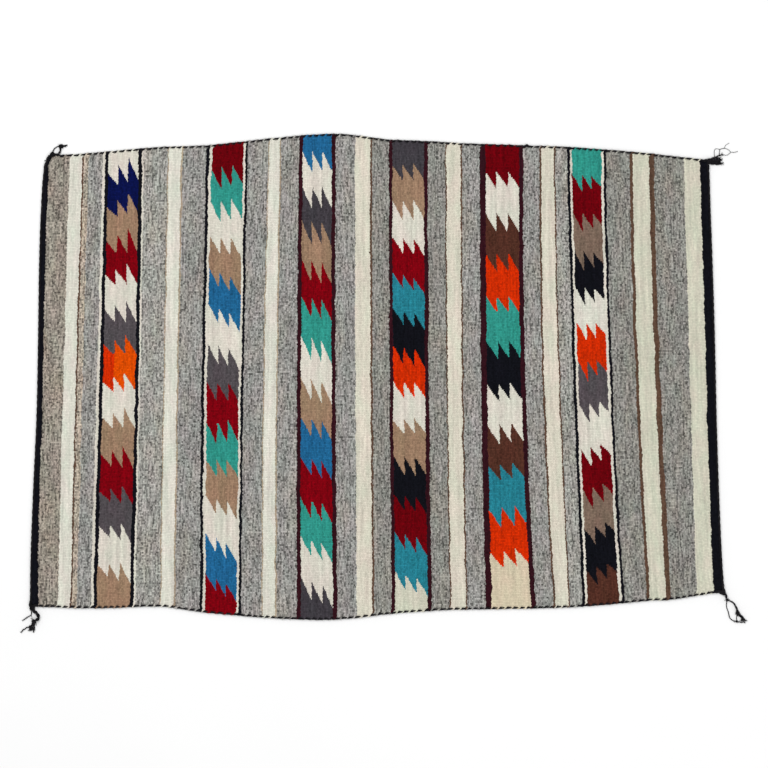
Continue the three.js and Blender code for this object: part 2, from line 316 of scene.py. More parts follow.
# The two-ply edge cords. A dash is one ply crossing over the other, and between two dashes the
# web's wefts turn round both.
DASH_PITCH = 13.6
CORD_HEIGHT = 2.6
PLY_RISE = 1.15
CORD_STEP = 1.7
PLY_SIDES = 8
CORDS = {
    # edge: the part's node, the side that is outward, how far short of the corners it stops, how far
    # out it lies, and its plies' radius and swing
    "top": ("selvedge_cord_top", 1, (18, 3), 1.9, 1.45, 1.0),
    "bottom": ("selvedge_cord_bottom", -1, (7, 14), 1.9, 1.45, 1.0),
    "left": ("end_cord_left", -1, (20, 4), 2.4, 1.75, 0.6),
    "right": ("end_cord_right", 1, (7, 5), 2.4, 1.75, 0.6),
}
# The twist runs ahead and behind in two waves, each its size in radians and its length over two pi,
# and starts at an angle of its own on each edge.
TWIST_STARTS = {"top": 0.0, "bottom": 2.1, "left": 4.0, "right": 5.2}
SLOW_LAG = (0.9, 71)
QUICK_LAG = (0.6, 23)
# A ply is thicker and thinner by these shares, in waves of these lengths over two pi.
SLOW_SWELL = (0.06, 5.3)
QUICK_SWELL = (0.05, 2.1)
# A knot in the top cord: its place, width and height, and how many times less than its height it
# pushes the plies out and thickens them.
LUMP_X = 302.5
LUMP_WIDTH = 4.0
LUMP_HEIGHT = 3.0
LUMP_TO_PUSH = 2
LUMP_TO_THICKENING = 2.6

# The web's rim from the face round to the back: how far out and how high, how much further out and
# higher where a weft turns round the cord, how far along the edge, as the wefts turn on a slant, and
# how much of the ends' ribs and of the cloth's unevenness it has.
RIM = [
    # out, height, more out, more height, along, ribs, unevenness
    (-2.8, 4.55, 0.2, 0.05, 0.0, 0, 1),
    (-2.0, 4.35, 2.8, 0.35, 0.7, 1, 1),
    (-1.2, 3.3, 4.8, 1.45, 2.2, 1, 1),
    (0.2, 1.6, 4.6, 2.2, 3.8, 1, 0),
    (4.3, 0.8, 0.2, 0.5, 4.0, 1, 0),
    (2.0, 0.1, 0.0, 0.0, 2.0, 0, 0),
    (-3.0, 0.0, 0.0, 0.0, 0.0, 0, 0),
]
END_RIB = 0.22
# The slant grows over this distance from the corners.
SLANT_TAPER = 18.0

# The lobes where wefts turn round the long cords: their shape, how unevenly they swell, in waves of
# these lengths over two pi, with a start on each edge, how much wider they are than the gaps, and
# where they grow near the corners. The short edges have a small even one.
LOBE_SHAPE = 0.55
LOBE_UNEVEN = 0.3
LOBE_WAVES = (37, 11.3)
LOBE_STARTS = {"top": 3, "bottom": 6}
LOBE_WIDER = 0.12
LOBE_TAPER = (2.0, 7.0)
END_LOBE = 0.3

# A strand: its steps, a ply's sides, the width from which it has three plies, a ply's radius as a
# share of half the width, and how many widths make one turn.
STRAND_STEP = 1.3
STRAND_SIDES = 6
THREE_PLY_WIDTH = 4
PLY_SHARES = {2: 0.62, 3: 0.56}
WIDTHS_TO_A_TURN = 2.75
# A frayed end: the share of the strand where its plies part, how suddenly, how far in widths, how
# unevenly in millimetres, and how much thinner each ply gets.
FRAY_SHARE = 0.2
FRAY_SHAPE = 1.6
FRAY_SPREAD = 1.1
FRAY_STRAY = (-0.5, 0.5)
FRAY_THINNING = 0.45
# Strands of a tassel lie on this many levels, this far apart, and all yarn clears the floor a bit.
STRAND_LEVELS = 3
STRAND_LIFT = 0.35
STRAND_SEED_STEP = 100
FLOOR_GAP = 0.02
# The steps of a cord, counted from its end, over which a tassel's strand lies.
RUN_ON_STEPS = (5, 3, 1)

# A knot's core, as a share of its size, cut off flat this many radians from its poles, and its
# wraps, at these places along it as shares of half its length. Scales are metres to a radian.
CORE_RINGS = 9
CORE_SIDES = 14
CORE_CUT = 0.12
CORE_SHARE = 0.88
CORE_SCALE = 0.003
WRAP_PLACES = (-0.55, -0.15, 0.25, 0.6)
WRAP_STEPS = 18
WRAP_SIDES = 6
WRAP_THICKNESS = 0.17
WRAP_TILT = 0.175
WRAP_REACH = 1.02
WRAP_NARROWING = 0.7
WRAP_SCALE = 0.002

# The tassels, in millimetres from a place close to the web's corner. A strand tapers from its root
# width to its tip width along its route, and may start on one of the cords. Knots have a place, a
# length, width and height, and a turn in degrees.
TASSELS = {
    "top_left": {
        "place": (-664, 460),
        "seed": 8,
        "strands": [
            (6.0, 6.6, ["left start", (-7, -4), (-2, 3), (3, 6)]),
            (5.6, 7.8, ["top start", (13, 5), (8, 5.8), (3, 6)]),
            (4.6, 4.0, [(14, 5.5), (17.5, 10), (18.5, 14), (20.5, 21)]),
            (3.0, 2.2, [(3, 7), (4, 13), (8, 19), (14, 22.5), (20, 22.5)]),
            (4.4, 2.2, [(20, 22.5), (27, 24), (33.5, 25)]),
            (3.0, 1.6, [(20, 22), (26, 22.5), (31, 22)]),
            (3.8, 2.2, [(-8, -5), (-13.5, -7)]),
        ],
        "knots": [((3, 6.5), (10, 9, 6.6), 40), ((20, 22.5), (11, 8.2, 6), 10)],
    },
    "top_right": {
        "place": (667, 451),
        "seed": 9,
        "strands": [
            (5.4, 6.4, ["top end", (1, 3.4), (5, 4)]),
            (5.4, 6.4, ["right start", (3.4, -4), (6, 0)]),
            (4.0, 3.0, [(5, 5), (13, 7), (22, 8), (30, 6.6)]),
            (4.0, 2.8, [(5, 3.5), (14, 4.4), (24, 4.8), (33, 4.6)]),
            (4.0, 3.2, [(5, 2), (15, 1.8), (24, 2), (30, 2.2)]),
            (4.0, 3.2, [(5, 0), (15, -0.8), (23, -0.8), (29, -0.4)]),
            (4.0, 2.6, [(5, -2), (15, -3), (25, -3), (35.5, -2.6)]),
            (3.6, 3.0, [(6, -3.6), (15, -4.6), (24, -5), (31, -4.8)]),
            (3.4, 3.0, [(7, 3), (15, 3.2), (23, 3.4), (28, 3.4)]),
            (3.4, 3.0, [(7, 0.6), (15, 0.4), (23, 0.6), (27.5, 0.8)]),
            (3.4, 3.0, [(7, -1.4), (15, -1.8), (23, -1.8), (29, -1.8)]),
            (4.2, 2.8, [(10, 6.6), (18, 9.4), (26, 13), (34, 16)]),
            (1.4, 1.2, [(17, 9), (16, 18), (16.5, 24), (19, 26.7), (28, 25.6)]),
            (1.4, 1.2, [(26, 13), (26.5, 19), (28, 25.5), (37.5, 27.5), (45.5, 24), (50, 19.5)]),
            (1.4, 1.2, [(32, 15.5), (41, 13.6), (50, 19.5), (56, 19.3), (64, 21.5)]),
            (1.2, 1.0, [(36, 27.4), (39.5, 34), (46.5, 38.5)]),
        ],
        "knots": [((5.4, 1), (9, 12, 6.8), 0)],
    },
    "bottom_left": {
        "place": (-700, -447),
        "seed": 11,
        "strands": [
            (5.4, 7.4, ["left end", (-5.8, -3.6), (-3.6, -8.4)]),
            (5.0, 6.2, ["bottom start", (-3, -5.6), (-2.6, -8.4)]),
            (7.2, 6.8, [(-2, -9), (1, -14), (7, -18), (10.6, -25), (9.6, -30), (4.6, -33), (0.6, -36)]),
            (3.8, 3.2, [(1, -35), (-4, -42), (-7.4, -48), (-9, -55)]),
            (3.8, 3.2, [(1, -35), (-2.6, -42), (-5, -48), (-6, -54.5)]),
            (3.8, 3.2, [(1, -35), (-1.4, -42), (-2.8, -47), (-3, -53.5)]),
            (3.8, 2.8, [(1, -35), (0.8, -42), (0.4, -50), (0, -58)]),
            (3.6, 2.8, [(1.4, -35), (2.6, -42), (2.4, -48), (2, -54.5)]),
            (3.2, 2.8, [(0, -36), (-4.6, -45), (-7.6, -53)]),
            (3.2, 2.8, [(0, -36), (-1.6, -45), (-1.6, -54)]),
            (2.2, 2.4, [(-3, -11), (-3.6, -17), (-4.6, -22), (-12.5, -27), (-22.5, -34)]),
            (1.2, 1.2, [(-4, -21), (-2.6, -28), (0.6, -34)]),
            (3.4, 2.8, [(-6, -44), (-12, -47.5), (-18.6, -51), (-26, -58)]),
        ],
        "knots": [((-2.4, -8.2), (12.6, 10, 6.8), 0), ((1, -35.5), (8, 8.6, 6), 60)],
    },
    "bottom_right": {
        "place": (697, -416),
        "seed": 12,
        "strands": [
            (5.6, 7.8, ["bottom end", (-5, -6.4), (2, -7.8)]),
            (5.4, 7.2, ["right end", (5.2, -2.6), (4.2, -7.4)]),
            (6.8, 4.8, [(4, -8), (8.4, -12), (11, -17.5), (12.4, -23)]),
            (1.8, 2.6, [
                (12, -23), (11, -29), (11, -37), (14.5, -47), (17.6, -59), (21.6, -63), (28.6, -66.6),
            ]),
            (3.0, 2.6, [(27, -65.6), (33, -67.4), (40, -68), (49, -68)]),
            (2.4, 5.6, [(12, -23), (18, -24.5), (25.6, -29.6), (30, -37), (32.8, -45.6), (34, -51)]),
            (4.8, 4.0, [(34, -51), (39, -56), (41.4, -61), (42, -66)]),
            (4.8, 4.0, [(34, -51), (40, -55), (43.6, -60), (45, -66)]),
            (4.4, 2.6, [(34, -51), (41, -54.6), (46, -60.4), (51.4, -66.4)]),
            (4.4, 3.2, [(34, -51), (41, -55.4), (44.6, -60.6), (48, -66)]),
            (1.8, 1.6, [(33.4, -52), (31.4, -57), (31.6, -65)]),
        ],
        "knots": [
            ((3.8, -8), (12, 9, 6.8), -20),
            ((12.4, -22.6), (5.4, 5.4, 4.8), 0),
            ((34, -51), (7.4, 8, 5.6), 0),
            ((31.8, -66.4), (5.6, 4.2, 4), 0),
        ],
    },
}


def web_shift():
    """The part's shift to its origin: where the web's lower left corner is, against its place above."""
    corner = min((v.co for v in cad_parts["web"].data.vertices), key=lambda co: co.x)
    return np.array([corner.x, corner.y]) / MM - CORNERS["bottom_left"]


SHIFT = web_shift()


def lengths_along(line):
    """How far along a line each of its points is."""
    return np.concatenate([[0], np.cumsum(np.linalg.norm(np.diff(line, axis=0), axis=1))])


def places_along(line, wanted):
    """The places at the wanted distances along a line."""
    along = lengths_along(line)
    return np.column_stack([np.interp(wanted, along, line[:, k]) for k in range(2)])


def smooth_line(points, step=1.0, steps_between=24):
    """Even points on the same smooth curve through a list of points as the part's source uses."""
    points = np.array(points, float)
    padded = np.vstack([2 * points[0] - points[1], points, 2 * points[-1] - points[-2]])
    share = np.linspace(0, 1, steps_between, endpoint=False)[:, None]
    pieces = []
    for a, b, c, d in zip(padded, padded[1:], padded[2:], padded[3:]):
        before, here, after = (math.sqrt(math.dist(p, q)) for p, q in ((a, b), (b, c), (c, d)))
        leave = ((b - a) / before - (c - a) / (before + here) + (c - b) / here) * here
        reach = ((c - b) / here - (d - b) / (here + after) + (d - c) / after) * here
        square = -3 * b + 3 * c - 2 * leave - reach
        cube = 2 * b - 2 * c + leave + reach
        pieces.append(b + leave * share + square * share**2 + cube * share**3)
    dense = np.vstack([*pieces, points[-1:]])
    length = lengths_along(dense)[-1]
    return places_along(dense, np.linspace(0, length, max(2, round(length / step)) + 1))


EDGES = {
    "top": smooth_line(TOP_EDGE),
    "bottom": smooth_line(BOTTOM_EDGE),
    "left": smooth_line(LEFT_EDGE),
    "right": smooth_line(RIGHT_EDGE),
}


def waver(at, seed, size):
    """A gentle, repeatable wandering of the given size, in millimetres."""
    dice = np.random.default_rng(seed)
    total = 0
    for period in EDGE_WAVES:
        total = total + dice.uniform(0.5, 1) * np.sin(TURN * (at / period + dice.uniform()))
    return size * total / EDGE_WAVES_SUM


def long_edge(name, x):
    """The height of the top or bottom edge at x, with the small wandering of a hand-woven edge."""
    edge = EDGES[name]
    return np.interp(x, edge[:, 0], edge[:, 1]) + waver(x, EDGE_SEEDS[name], EDGE_WANDER)


def short_edge(name, y):
    """The place along x of the left or right edge at this height."""
    edge = EDGES[name][::-1]
    return np.interp(y, edge[:, 1], edge[:, 0])


def place(u, v):
    """The place of a point of the web: u is millimetres from the left, and v is 0 to 1 downwards."""
    side = 2 * v - 1

    def middle_line(at):
        top = np.interp(at, LEAN[:, 0], LEAN[:, 1])
        bottom = np.interp(at, LEAN[:, 0], LEAN[:, 2])
        return top, bottom, at + START_X + (bottom - top) / 2 * side + (bottom + top) / 2 * side**2

    def height(at, top, bottom):
        upper = long_edge("top", at + START_X + top)
        lower = long_edge("bottom", at + START_X + bottom)
        return upper + v * (lower - upper)

    top, bottom, x = middle_line(u)
    y = height(u, top, bottom)
    for name, end in (("left", 0.0), ("right", LENGTH)):
        end_top, end_bottom, end_x = middle_line(np.full_like(side, end))
        miss = short_edge(name, height(end, end_top, end_bottom)) - end_x
        x = x + miss * np.clip(1 - np.abs(u - end) / END_BLEND, 0, 1)
    return x, y


def twist(at, edge):
    """How far an edge's cord has turned at a place along it. Its dashes aren't quite even."""
    start = TWIST_STARTS[edge]
    slow, slow_length = SLOW_LAG
    quick, quick_length = QUICK_LAG
    turned = np.pi * at / DASH_PITCH + slow * np.sin(at / slow_length + start)
    return turned + quick * np.sin(at / quick_length + 2 * start)


def lobes(x, edge, ends):
    """1 where a weft turns round the cord and 0 where the cord shows, with none near the corners."""
    slow, quick = LOBE_WAVES
    uneven = LOBE_UNEVEN * np.sin(x / slow + LOBE_STARTS[edge]) * np.sin(x / quick) + LOBE_WIDER
    bump = np.clip(np.cos(2 * twist(x, edge)) + uneven, 0, 1) ** LOBE_SHAPE
    near, far = LOBE_TAPER
    taper = np.clip((np.minimum(x - ends[0], ends[1] - x) - near) / (far - near), 0, 1)
    return bump * taper


def smooth_noise(x, y, seed, sizes, amount):
    """Slow unevenness: a sum of a few waves that cross each other."""
    dice = np.random.default_rng(seed)
    total = np.zeros(np.broadcast(x, y).shape)
    for size in sizes:
        angle = dice.uniform(0, TURN)
        total += np.sin(TURN * ((x * math.cos(angle) + y * math.sin(angle)) / size + dice.uniform()))
    return amount * total / math.sqrt(len(sizes))


def mesh_object(name, points, faces, map_name, uv):
    """A smooth-shaded mesh from points in millimetres, with a UV map given for each point."""
    points = np.asarray(points, float)
    metres = np.column_stack([points[:, :2] + SHIFT, points[:, 2]]) * MM
    mesh = bpy.data.meshes.new(name)
    mesh.from_pydata(metres.tolist(), [], faces)
    corners = np.empty(len(mesh.loops), dtype=np.int32)
    mesh.loops.foreach_get("vertex_index", corners)
    layer = mesh.uv_layers.new(name=map_name)
    layer.data.foreach_set("uv", np.asarray(uv, np.float32)[corners].ravel())
    mesh.polygons.foreach_set("use_smooth", [True] * len(mesh.polygons))
    mesh.update()
    piece = bpy.data.objects.new(name, mesh)
    scene.collection.objects.link(piece)
    return piece


def cloth_unevenness(x, y):
    """How much higher or lower the cloth lies at these places."""
    return smooth_noise(x, y, CLOTH_SEED, CLOTH_WAVES, CLOTH_UNEVEN)


def quads(grid):
    """Four-sided faces between the rows and columns of a grid of point numbers."""
    faces = np.stack([grid[:-1, :-1], grid[1:, :-1], grid[1:, 1:], grid[:-1, 1:]], axis=-1)
    return faces.reshape(-1, 4).tolist()


def closed(grid):
    """A grid of point numbers with its first column again after its last."""
    return np.column_stack([grid, grid[:, :1]])


def skin(grid):
    """Faces over a grid of point numbers whose rows are rings, with a flat face at each end."""
    return [*quads(closed(grid).T), grid[0, ::-1].tolist(), grid[-1].tolist()]


def border_faces(grid, ring):
    """Faces from a grid's border out to a ring, whose points are as close together or closer."""
    border = np.concatenate([grid[0, :-1], grid[:-1, -1], grid[-1, :0:-1], grid[:0:-1, 0], grid[0, :1]])
    border = border.tolist()
    ring = [*ring.tolist(), int(ring[0])]
    rows = grid.shape[0] - 1
    columns = grid.shape[1] - 1
    steps = 2 * ([FINE // columns] * columns + [ROWS // rows] * rows)
    faces = []
    near = 0
    for first, second, step in zip(border, border[1:], steps):
        far = near + step
        faces.append([first, second, *ring[near:far + 1][::-1]])
        near = far
    return faces


def web_grid(inset, columns, rows):
    """Even places over the web, as u and v, from this far in."""
    v_in = inset / MEAN_HEIGHT
    column_u = np.linspace(inset, LENGTH - inset, columns + 1)
    row_v = np.linspace(v_in, 1 - v_in, rows + 1)
    return np.meshgrid(column_u, row_v)


def listed(*grids):
    """Grids of single values as one list of points."""
    return np.stack(grids, axis=-1).reshape(-1, len(grids))


def web_face():
    """The map and the points of the face, which is raised over each warp."""
    u, v = web_grid(INSET, COLUMNS, ROWS)
    x, y = place(u, v)
    rib = np.cos(TURN * np.arange(ROWS + 1) / ROWS_PER_WARP)[:, None]
    relief = WARP_RELIEF * (1 + RELIEF_CHANGE * smooth_noise(x, y, RELIEF_SEED, RELIEF_WAVES, 1.0))
    z = THICKNESS + cloth_unevenness(x, y) + rib * relief
    return listed(u, v), listed(x, y, z)


def web_back():
    """The map and the points of the back, which is flat on the floor."""
    u, v = web_grid(BACK_INSET, BACK_COLUMNS, BACK_ROWS)
    x, y = place(u, v)
    return listed(u, v), listed(x, y, np.zeros_like(x))


def rim_stations():
    """Stations along the web's outline, as u and v, clockwise from the top left corner."""
    u, v = web_grid(INSET, COLUMNS, ROWS)
    column_u = u[0]
    row_v = v[:, 0]
    column_u[[0, -1]] = (0, LENGTH)
    row_v[[0, -1]] = (0, 1)
    fine_u = np.interp(np.arange(FINE + 1) / FINE_PER_COLUMN, np.arange(COLUMNS + 1), column_u)
    ring_u = np.concatenate([fine_u[:-1], np.full(ROWS, LENGTH), fine_u[:0:-1], np.zeros(ROWS)])
    ring_v = np.concatenate([np.zeros(FINE), row_v[:-1], np.ones(FINE), row_v[:0:-1]])
    return ring_u, ring_v


def web_rim():
    """The map and the points of the rim: one ring of stations after another, from face to back."""
    ring_u, ring_v = rim_stations()
    ring_x, ring_y = place(ring_u, ring_v)
    outline = np.column_stack([ring_x, ring_y])
    way = np.roll(outline, -1, axis=0) - np.roll(outline, 1, axis=0)
    way /= np.linalg.norm(way, axis=1)[:, None]
    outward = np.column_stack([-way[:, 1], way[:, 0]])
    # Outward on the map: straight along u or v.
    aim = np.sign(outward) * (np.abs(outward) > 0.5)
    uneven = cloth_unevenness(ring_x, ring_y)

    lobe = np.full(len(ring_u), END_LOBE)
    slant = np.zeros(len(ring_u))
    for edge, line, first in (("top", TOP_EDGE, 0), ("bottom", BOTTOM_EDGE, FINE + ROWS)):
        part = slice(first, first + FINE)
        start = line[0][0]
        end = line[-1][0]
        lobe[part] = lobes(ring_x[part], edge, (start, end))
        room = np.minimum(ring_x[part] - start, end - ring_x[part])
        slant[part] = np.clip(room / SLANT_TAPER, 0, 1)
    rib = np.zeros(len(ring_u))
    for first in (FINE, 2 * FINE + ROWS):
        rib[first:first + ROWS] = END_RIB * np.cos(TURN * np.arange(ROWS) / ROWS_PER_WARP)

    maps = []
    points = []
    for out, height, more_out, more_height, along, rib_share, uneven_share in RIM:
        reach = out + more_out * lobe + rib_share * rib
        level = height + more_height * lobe + uneven_share * uneven
        spot = outline + outward * reach[:, None] + way * (along * slant)[:, None]
        maps.append(listed(ring_u + aim[:, 0] * reach, ring_v - aim[:, 1] * reach / MEAN_HEIGHT))
        points.append(np.column_stack([spot, np.maximum(level, 0)]))
    return np.vstack(maps), np.vstack(points)


def build_web():
    """The woven web as one closed body: a ribbed face, a rim that turns round the cords, a back."""
    maps, points = zip(web_face(), web_rim(), web_back())
    ends = np.cumsum([len(part) for part in points])
    face, rim, back = np.split(np.arange(ends[-1]), ends[:-1])
    face = face.reshape(ROWS + 1, COLUMNS + 1)
    rim = rim.reshape(len(RIM), -1)
    back = back.reshape(BACK_ROWS + 1, BACK_COLUMNS + 1)
    faces = quads(face) + border_faces(face, rim[0]) + quads(closed(rim).T)
    faces += [corners[::-1] for corners in border_faces(back, rim[-1])]
    faces += quads(back.T)
    uv = np.vstack(maps)
    uv[:, 0] *= MM
    return mesh_object("rug_web", np.vstack(points), faces, "weave", uv)


def tube(centres, sideways, radii, sides):
    """Points, faces and a map of a tube along centres, where sideways is level and square to it."""
    count = len(centres)
    angles = TURN * np.arange(sides) / sides
    radii = np.broadcast_to(radii, (count,))
    out = radii[:, None] * np.cos(angles)
    up = radii[:, None] * np.sin(angles)
    points = np.empty((count, sides, 3))
    points[:, :, :2] = centres[:, None, :2] + sideways[:, None, :] * out[:, :, None]
    points[:, :, 2] = centres[:, None, 2] + up
    uv = np.empty((count, sides, 2))
    uv[:, :, 0] = lengths_along(centres)[:, None] * MM
    uv[:, :, 1] = np.arange(sides) / sides
    faces = skin(np.arange(count * sides).reshape(count, sides))
    return points.reshape(-1, 3), faces, uv.reshape(-1, 2)


class Bundle:
    """Tubes and other bodies gathered into one mesh."""

    def __init__(self):
        self.points = []
        self.faces = []
        self.uvs = []
        self.count = 0

    def add(self, points, faces, uv):
        self.points.append(points)
        self.faces.extend([[corner + self.count for corner in face] for face in faces])
        self.uvs.append(uv)
        self.count += len(points)

    def make(self, name):
        points = np.vstack(self.points)
        points[:, 2] = np.maximum(points[:, 2], FLOOR_GAP)
        return mesh_object(name, points, self.faces, "ply", np.vstack(self.uvs))


def directions(path):
    """The way straight out to the left of a path, at each of its points."""
    way = np.gradient(path, axis=0)
    way /= np.linalg.norm(way, axis=1)[:, None]
    return np.column_stack([-way[:, 1], way[:, 0]])


def edge_path(edge, start, end):
    """Places along an edge of the web, from one trim to another, and the way out from each."""
    line = EDGES[edge]
    length = lengths_along(line)[-1]
    count = round((length - start - end) / CORD_STEP) + 1
    path = places_along(line, np.linspace(start, length - end, count))
    if edge in ("top", "bottom"):
        path[:, 1] = long_edge(edge, path[:, 0])
    return path, directions(path) * CORDS[edge][1]


def cord_run_on(tag):
    """Where a tassel's strand lies over the last few millimetres of a cord."""
    edge, end = tag.split()
    _, _, trims, outset, _, _ = CORDS[edge]
    path, outward = edge_path(edge, *trims)
    middle = path + outward * outset
    if end == "end":
        middle = middle[::-1]
    return [tuple(middle[step]) for step in RUN_ON_STEPS]


def build_cord(edge):
    """One edge cord: two plies twined round each other along an edge of the web."""
    _, out, trims, outset, radius, swing = CORDS[edge]
    path, outward = edge_path(edge, *trims)
    run = path[:, 0] if edge in ("top", "bottom") else path[:, 1]
    turn = twist(run, edge)
    lump = LUMP_HEIGHT * np.exp(-(((path[:, 0] - LUMP_X) / LUMP_WIDTH) ** 2)) if edge == "top" else 0 * run
    slow, slow_length = SLOW_SWELL
    quick, quick_length = QUICK_SWELL
    bundle = Bundle()
    for ply in range(2):
        angle = turn + math.pi * ply
        away = outset - out * swing * np.cos(angle) + lump / LUMP_TO_PUSH
        centres = np.column_stack([path + outward * away[:, None], CORD_HEIGHT + PLY_RISE * np.sin(angle)])
        swell = 1 + slow * np.sin(run / slow_length + ply) + quick * np.sin(run / quick_length)
        radii = radius * swell + lump / LUMP_TO_THICKENING
        bundle.add(*tube(centres, outward * out, radii, PLY_SIDES))
    return bundle.make(f"cord_{edge}")


def add_strand(bundle, root, tip, route, lift, seed, frays):
    """A twisted strand lying on the floor. Where it frays, its plies part a little at the end."""
    path = smooth_line(route, STRAND_STEP)
    dice = np.random.default_rng(seed)
    share = np.linspace(0, 1, len(path))
    width = max(root, tip)
    half = (root + (tip - root) * share) / 2
    plies = 2 if width < THREE_PLY_WIDTH else 3
    sideways = directions(path)
    turns = share * len(path) * STRAND_STEP / (WIDTHS_TO_A_TURN * width)
    part = np.clip((share - (1 - FRAY_SHARE)) / FRAY_SHARE, 0, 1) ** FRAY_SHAPE * frays
    thin = half * PLY_SHARES[plies]
    off = half - thin
    for ply in range(plies):
        angle = TURN * (turns + ply / plies) + dice.uniform(0, TURN)
        spread = (ply - (plies - 1) / 2) * part * tip * FRAY_SPREAD + part * dice.uniform(*FRAY_STRAY)
        across = off * np.cos(angle) + spread
        centres = np.column_stack([
            path + sideways * across[:, None],
            np.maximum(half + off * np.sin(angle) * (1 - part), thin) + lift,
        ])
        bundle.add(*tube(centres, sideways, thin * (1 - FRAY_THINNING * part), STRAND_SIDES))


def add_core(bundle, half, spin, middle):
    """A knot's low core, with its half sizes."""
    lat = np.linspace(-math.pi / 2 + CORE_CUT, math.pi / 2 - CORE_CUT, CORE_RINGS)
    lon = TURN * np.arange(CORE_SIDES) / CORE_SIDES
    points = np.stack([
        np.cos(lat)[:, None] * np.cos(lon) * half[0],
        np.cos(lat)[:, None] * np.sin(lon) * half[1],
        np.repeat(np.sin(lat)[:, None], CORE_SIDES, axis=1) * half[2],
    ], axis=-1).reshape(-1, 3) @ spin + middle
    uv = np.column_stack([np.repeat(lat, CORE_SIDES) * CORE_SCALE, np.tile(lon / TURN, CORE_RINGS)])
    bundle.add(points, skin(np.arange(len(points)).reshape(CORE_RINGS, CORE_SIDES)), uv)


def add_wrap(bundle, half, spin, middle, at, tilt, thick):
    """One wrap round a knot's core: a closed ring of yarn at this share of its half length."""
    phi = TURN * np.arange(WRAP_STEPS) / WRAP_STEPS
    narrow = math.sqrt(1 - at**2 * WRAP_NARROWING)
    loop = np.stack([
        half[0] * (at + tilt * np.sin(phi)),
        half[1] * WRAP_REACH * np.cos(phi) * narrow,
        half[2] * WRAP_REACH * np.sin(phi) * narrow,
    ], axis=-1) @ spin
    radial = loop / np.linalg.norm(loop, axis=1)[:, None]
    along = np.array([1.0, 0, 0]) @ spin
    angles = TURN * np.arange(WRAP_SIDES) / WRAP_SIDES
    points = (
        (loop + middle)[:, None, :]
        + thick * np.cos(angles)[None, :, None] * along
        + thick * np.sin(angles)[None, :, None] * radial[:, None, :]
    ).reshape(-1, 3)
    grid = closed(np.arange(len(points)).reshape(WRAP_STEPS, WRAP_SIDES))
    faces = quads(np.vstack([grid, grid[:1]]))
    uv = np.column_stack([np.repeat(phi, WRAP_SIDES) * WRAP_SCALE, np.tile(angles / TURN, WRAP_STEPS)])
    bundle.add(points, faces, uv)


def add_knot(bundle, place_at, at, size, turn):
    """A knot: a low core with a few wraps of yarn round it."""
    middle = np.array([place_at[0] + at[0], place_at[1] + at[1], size[2] / 2])
    c = math.cos(math.radians(turn))
    s = math.sin(math.radians(turn))
    spin = np.array([[c, s, 0], [-s, c, 0], [0, 0, 1]])
    half = np.array(size) / 2 * CORE_SHARE
    add_core(bundle, half, spin, middle)
    for wrap, along in enumerate(WRAP_PLACES):
        tilt = WRAP_TILT * (-1) ** wrap
        add_wrap(bundle, half, spin, middle, along, tilt, min(size) * WRAP_THICKNESS)


def build_tassel(name):
    """One tassel: its strands, the first of which run on from the cords, and its knots."""
    tassel = TASSELS[name]
    place_at = tassel["place"]
    bundle = Bundle()
    for index, (root, tip, route) in enumerate(tassel["strands"]):
        from_cord = isinstance(route[0], str)
        placed = cord_run_on(route[0]) if from_cord else []
        spots = route[1:] if from_cord else route
        placed += [(place_at[0] + x, place_at[1] + y) for x, y in spots]
        lift = STRAND_LIFT * (index % STRAND_LEVELS)
        add_strand(bundle, root, tip, placed, lift, STRAND_SEED_STEP * index + tassel["seed"], not from_cord)
    for at, size, turn in tassel["knots"]:
        add_knot(bundle, place_at, at, size, turn)
    return bundle.make(f"tassel_{name}_yarn")


def linear(colour):
    """A display colour of 0 to 255 as scene-linear values, by the standard formula."""
    shares = (value / 255 for value in colour)
    return tuple(c / 12.92 if c <= 0.04045 else ((c + 0.055) / 1.055) ** 2.4 for c in shares)


